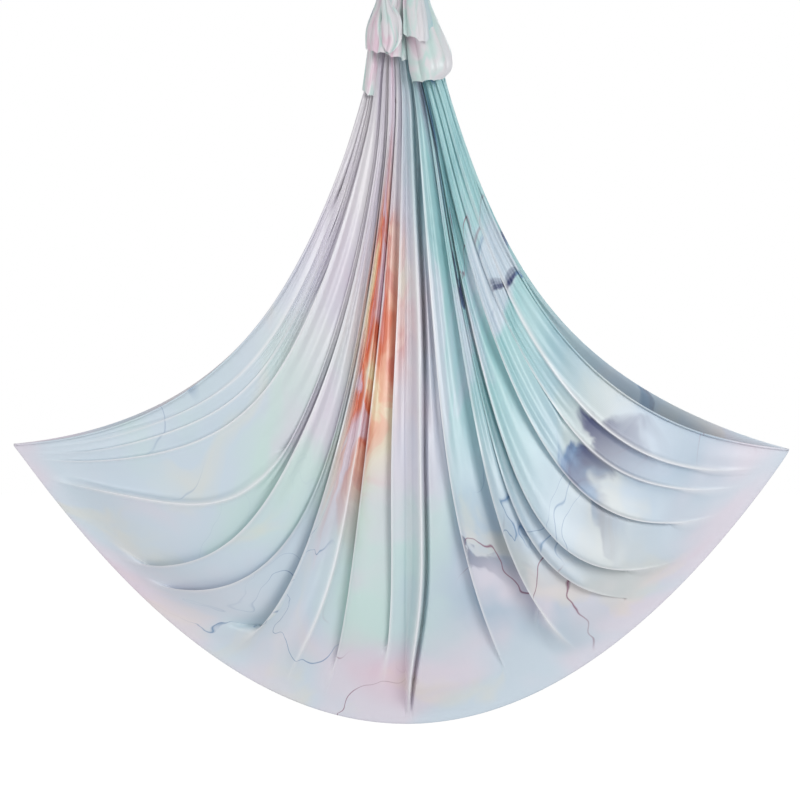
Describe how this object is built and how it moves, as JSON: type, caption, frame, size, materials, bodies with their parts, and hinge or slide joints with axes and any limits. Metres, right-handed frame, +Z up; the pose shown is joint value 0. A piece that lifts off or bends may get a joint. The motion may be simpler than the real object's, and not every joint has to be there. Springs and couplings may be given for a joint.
{
  "type": "aerial hammock",
  "caption": "Silky tricot hammock panel, gathered and knotted at both ends over a locking carabiner, hung from a ball-bearing swivel and a second carabiner.",
  "frame": {"origin": "inside top of the upper carabiner's bow, where the anchor holds the part", "axes": "+Z up, +X from the panel's left tip to its right tip as seen from the front, -Y to the front"},
  "size_m": [2.13, 0.28, 2.5185],
  "materials": {
    "steel": "satin bent steel bar",
    "bright_steel": "ground bearing steel and rivets",
    "spring_steel": "drawn spring wire",
    "sleeve": "dark anodised, ribbed grip",
    "alloy": "blue-grey anodised",
    "rubber": "matt",
    "cloth": "silky nylon tricot with a soft marbled dye in lavender, mint, teal and peach"
  },
  "bodies": {
    "upper_carabiner": {"upper_carabiner_frame": "steel", "upper_gate_rivet": "bright_steel"},
    "upper_gate": {"upper_gate": "steel", "upper_spring_pusher": "bright_steel", "upper_gate_spring": "spring_steel"},
    "upper_lock_sleeve": {"upper_lock_sleeve": "sleeve"},
    "swivel_eye": {"swivel_eye": "steel", "lower_bearing_race": "bright_steel", "shaft_nut": "bright_steel", "nut_pin": "spring_steel", "bearing_ball_1": "bright_steel", "bearing_ball_2": "bright_steel", "bearing_ball_3": "bright_steel", "bearing_ball_4": "bright_steel", "bearing_ball_5": "bright_steel", "bearing_ball_6": "bright_steel", "bearing_ball_7": "bright_steel", "bearing_ball_8": "bright_steel", "bearing_ball_9": "bright_steel", "bearing_ball_10": "bright_steel"},
    "swivel_housing": {"swivel_housing": "alloy", "swivel_cap": "alloy", "swivel_seal": "rubber", "upper_bearing_race": "bright_steel"},
    "lower_carabiner": {"lower_carabiner_frame": "steel", "lower_gate_rivet": "bright_steel"},
    "lower_gate": {"lower_gate": "steel", "lower_spring_pusher": "bright_steel", "lower_gate_spring": "spring_steel"},
    "lower_lock_sleeve": {"lower_lock_sleeve": "sleeve"},
    "hammock": {"left_cloth_loop": "cloth", "right_cloth_loop": "cloth", "left_knot": "cloth", "right_knot": "cloth", "left_tail": "cloth", "right_tail": "cloth", "sling_front": "cloth", "sling_back": "cloth"}
  },
  "joints": [
    {"name": "upper_gate_swing", "type": "hinge", "parent": "upper_carabiner", "child": "upper_gate", "pos_m": [0.031, 0, -0.074], "axis": [0, -1, 0], "range_deg": [0, 22], "stiffness_Nm_per_rad": 0.3, "springref_deg": -34.38},
    {"name": "upper_sleeve_slide", "type": "slide", "parent": "upper_gate", "child": "upper_lock_sleeve", "axis": [0, 0, 1], "range_m": [0, 0.012]},
    {"name": "swivel_swing", "type": "hinge", "parent": "upper_carabiner", "child": "swivel_eye", "pos_m": [0, 0, -0.1], "axis": [1, 0, 0], "range_deg": [-40, 40]},
    {"name": "swivel_spin", "type": "hinge", "parent": "swivel_eye", "child": "swivel_housing", "pos_m": [0, 0, -0.131], "axis": [0, 0, 1], "continuous": true},
    {"name": "lower_carabiner_swing", "type": "hinge", "parent": "swivel_housing", "child": "lower_carabiner", "pos_m": [0, 0, -0.1792], "axis": [1, 0, 0], "range_deg": [-40, 40]},
    {"name": "lower_gate_swing", "type": "hinge", "parent": "lower_carabiner", "child": "lower_gate", "pos_m": [0.031, 0, -0.2592], "axis": [0, -1, 0], "range_deg": [0, 22], "stiffness_Nm_per_rad": 0.3, "springref_deg": -34.38},
    {"name": "lower_sleeve_slide", "type": "slide", "parent": "lower_gate", "child": "lower_lock_sleeve", "axis": [0, 0, 1], "range_m": [0, 0.012]},
    {"name": "hammock_swing", "type": "hinge", "parent": "lower_carabiner", "child": "hammock", "pos_m": [0, 0, -0.2852], "axis": [1, 0, 0], "range_deg": [-35, 35]}
  ]
}
